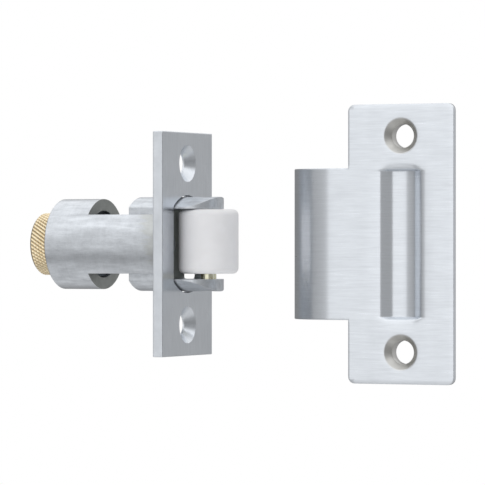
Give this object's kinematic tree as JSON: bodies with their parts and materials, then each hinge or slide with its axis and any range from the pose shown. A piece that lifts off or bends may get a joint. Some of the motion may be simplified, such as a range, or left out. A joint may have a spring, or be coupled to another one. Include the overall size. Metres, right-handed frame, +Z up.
{
  "type": "adjustable roller latch",
  "caption": "Spring-loaded roller latch with a screw-adjusted projection, a bored-in barrel and faceplate, and its lipped strike plate.",
  "frame": {"origin": "centre of the faceplate's back (seating) face, midway between its two screw holes and on the barrel's axis", "axes": "+X along the barrel, the way the roller projects; +Z up along the faceplate; the strike plate's face points to -Y"},
  "size_m": [0.1152, 0.0286, 0.0698],
  "materials": {
    "satin_plate": "satin chrome plated, brushed",
    "satin_casting": "satin chrome plated, fine blasted",
    "spring_steel": "drawn wire, light oil",
    "zinc_steel": "bright zinc plated",
    "brass": "machined, bare",
    "white_nylon": "moulded nylon, semi-matte"
  },
  "bodies": {
    "latch_body": {"faceplate": "satin_plate", "barrel": "satin_casting", "return_spring": "spring_steel"},
    "stop": {"stop_washer": "zinc_steel"},
    "adjusting_nut": {"knurled_nut": "brass"},
    "plunger": {"roller_carrier": "satin_casting", "draw_rod": "zinc_steel", "rod_cross_pin": "spring_steel", "roller_pin": "brass"},
    "roller": {"roller": "white_nylon"},
    "strike": {"strike_plate": "satin_plate"}
  },
  "joints": [
    {"name": "roller_press", "type": "slide", "parent": "latch_body", "child": "stop", "axis": [-1, 0, 0], "range_m": [0, 0.0075], "stiffness_N_per_m": 1500, "springref_m": -0.004, "deforming": ["return_spring"]},
    {"name": "nut_turn", "type": "hinge", "parent": "stop", "child": "adjusting_nut", "pos_m": [-0.035, 0, 0], "axis": [1, 0, 0], "range_deg": [0, 1080]},
    {"name": "projection_adjust", "type": "slide", "parent": "stop", "child": "plunger", "axis": [-1, 0, 0], "range_m": [0, 0.00317]},
    {"name": "roller_spin", "type": "hinge", "parent": "plunger", "child": "roller", "pos_m": [0.00874, 0, 0], "axis": [0, 0, 1], "continuous": true},
    {"name": "strike_to_latch", "type": "hinge", "parent": "latch_body", "child": "strike", "pos_m": [0.0381, 0.02378, 0], "axis": [0, 0, 1], "range_deg": [-90, 0]}
  ],
  "couplings": [
    {"joint": "nut_turn", "follows": "projection_adjust", "rad_per_m": 5936.9}
  ]
}
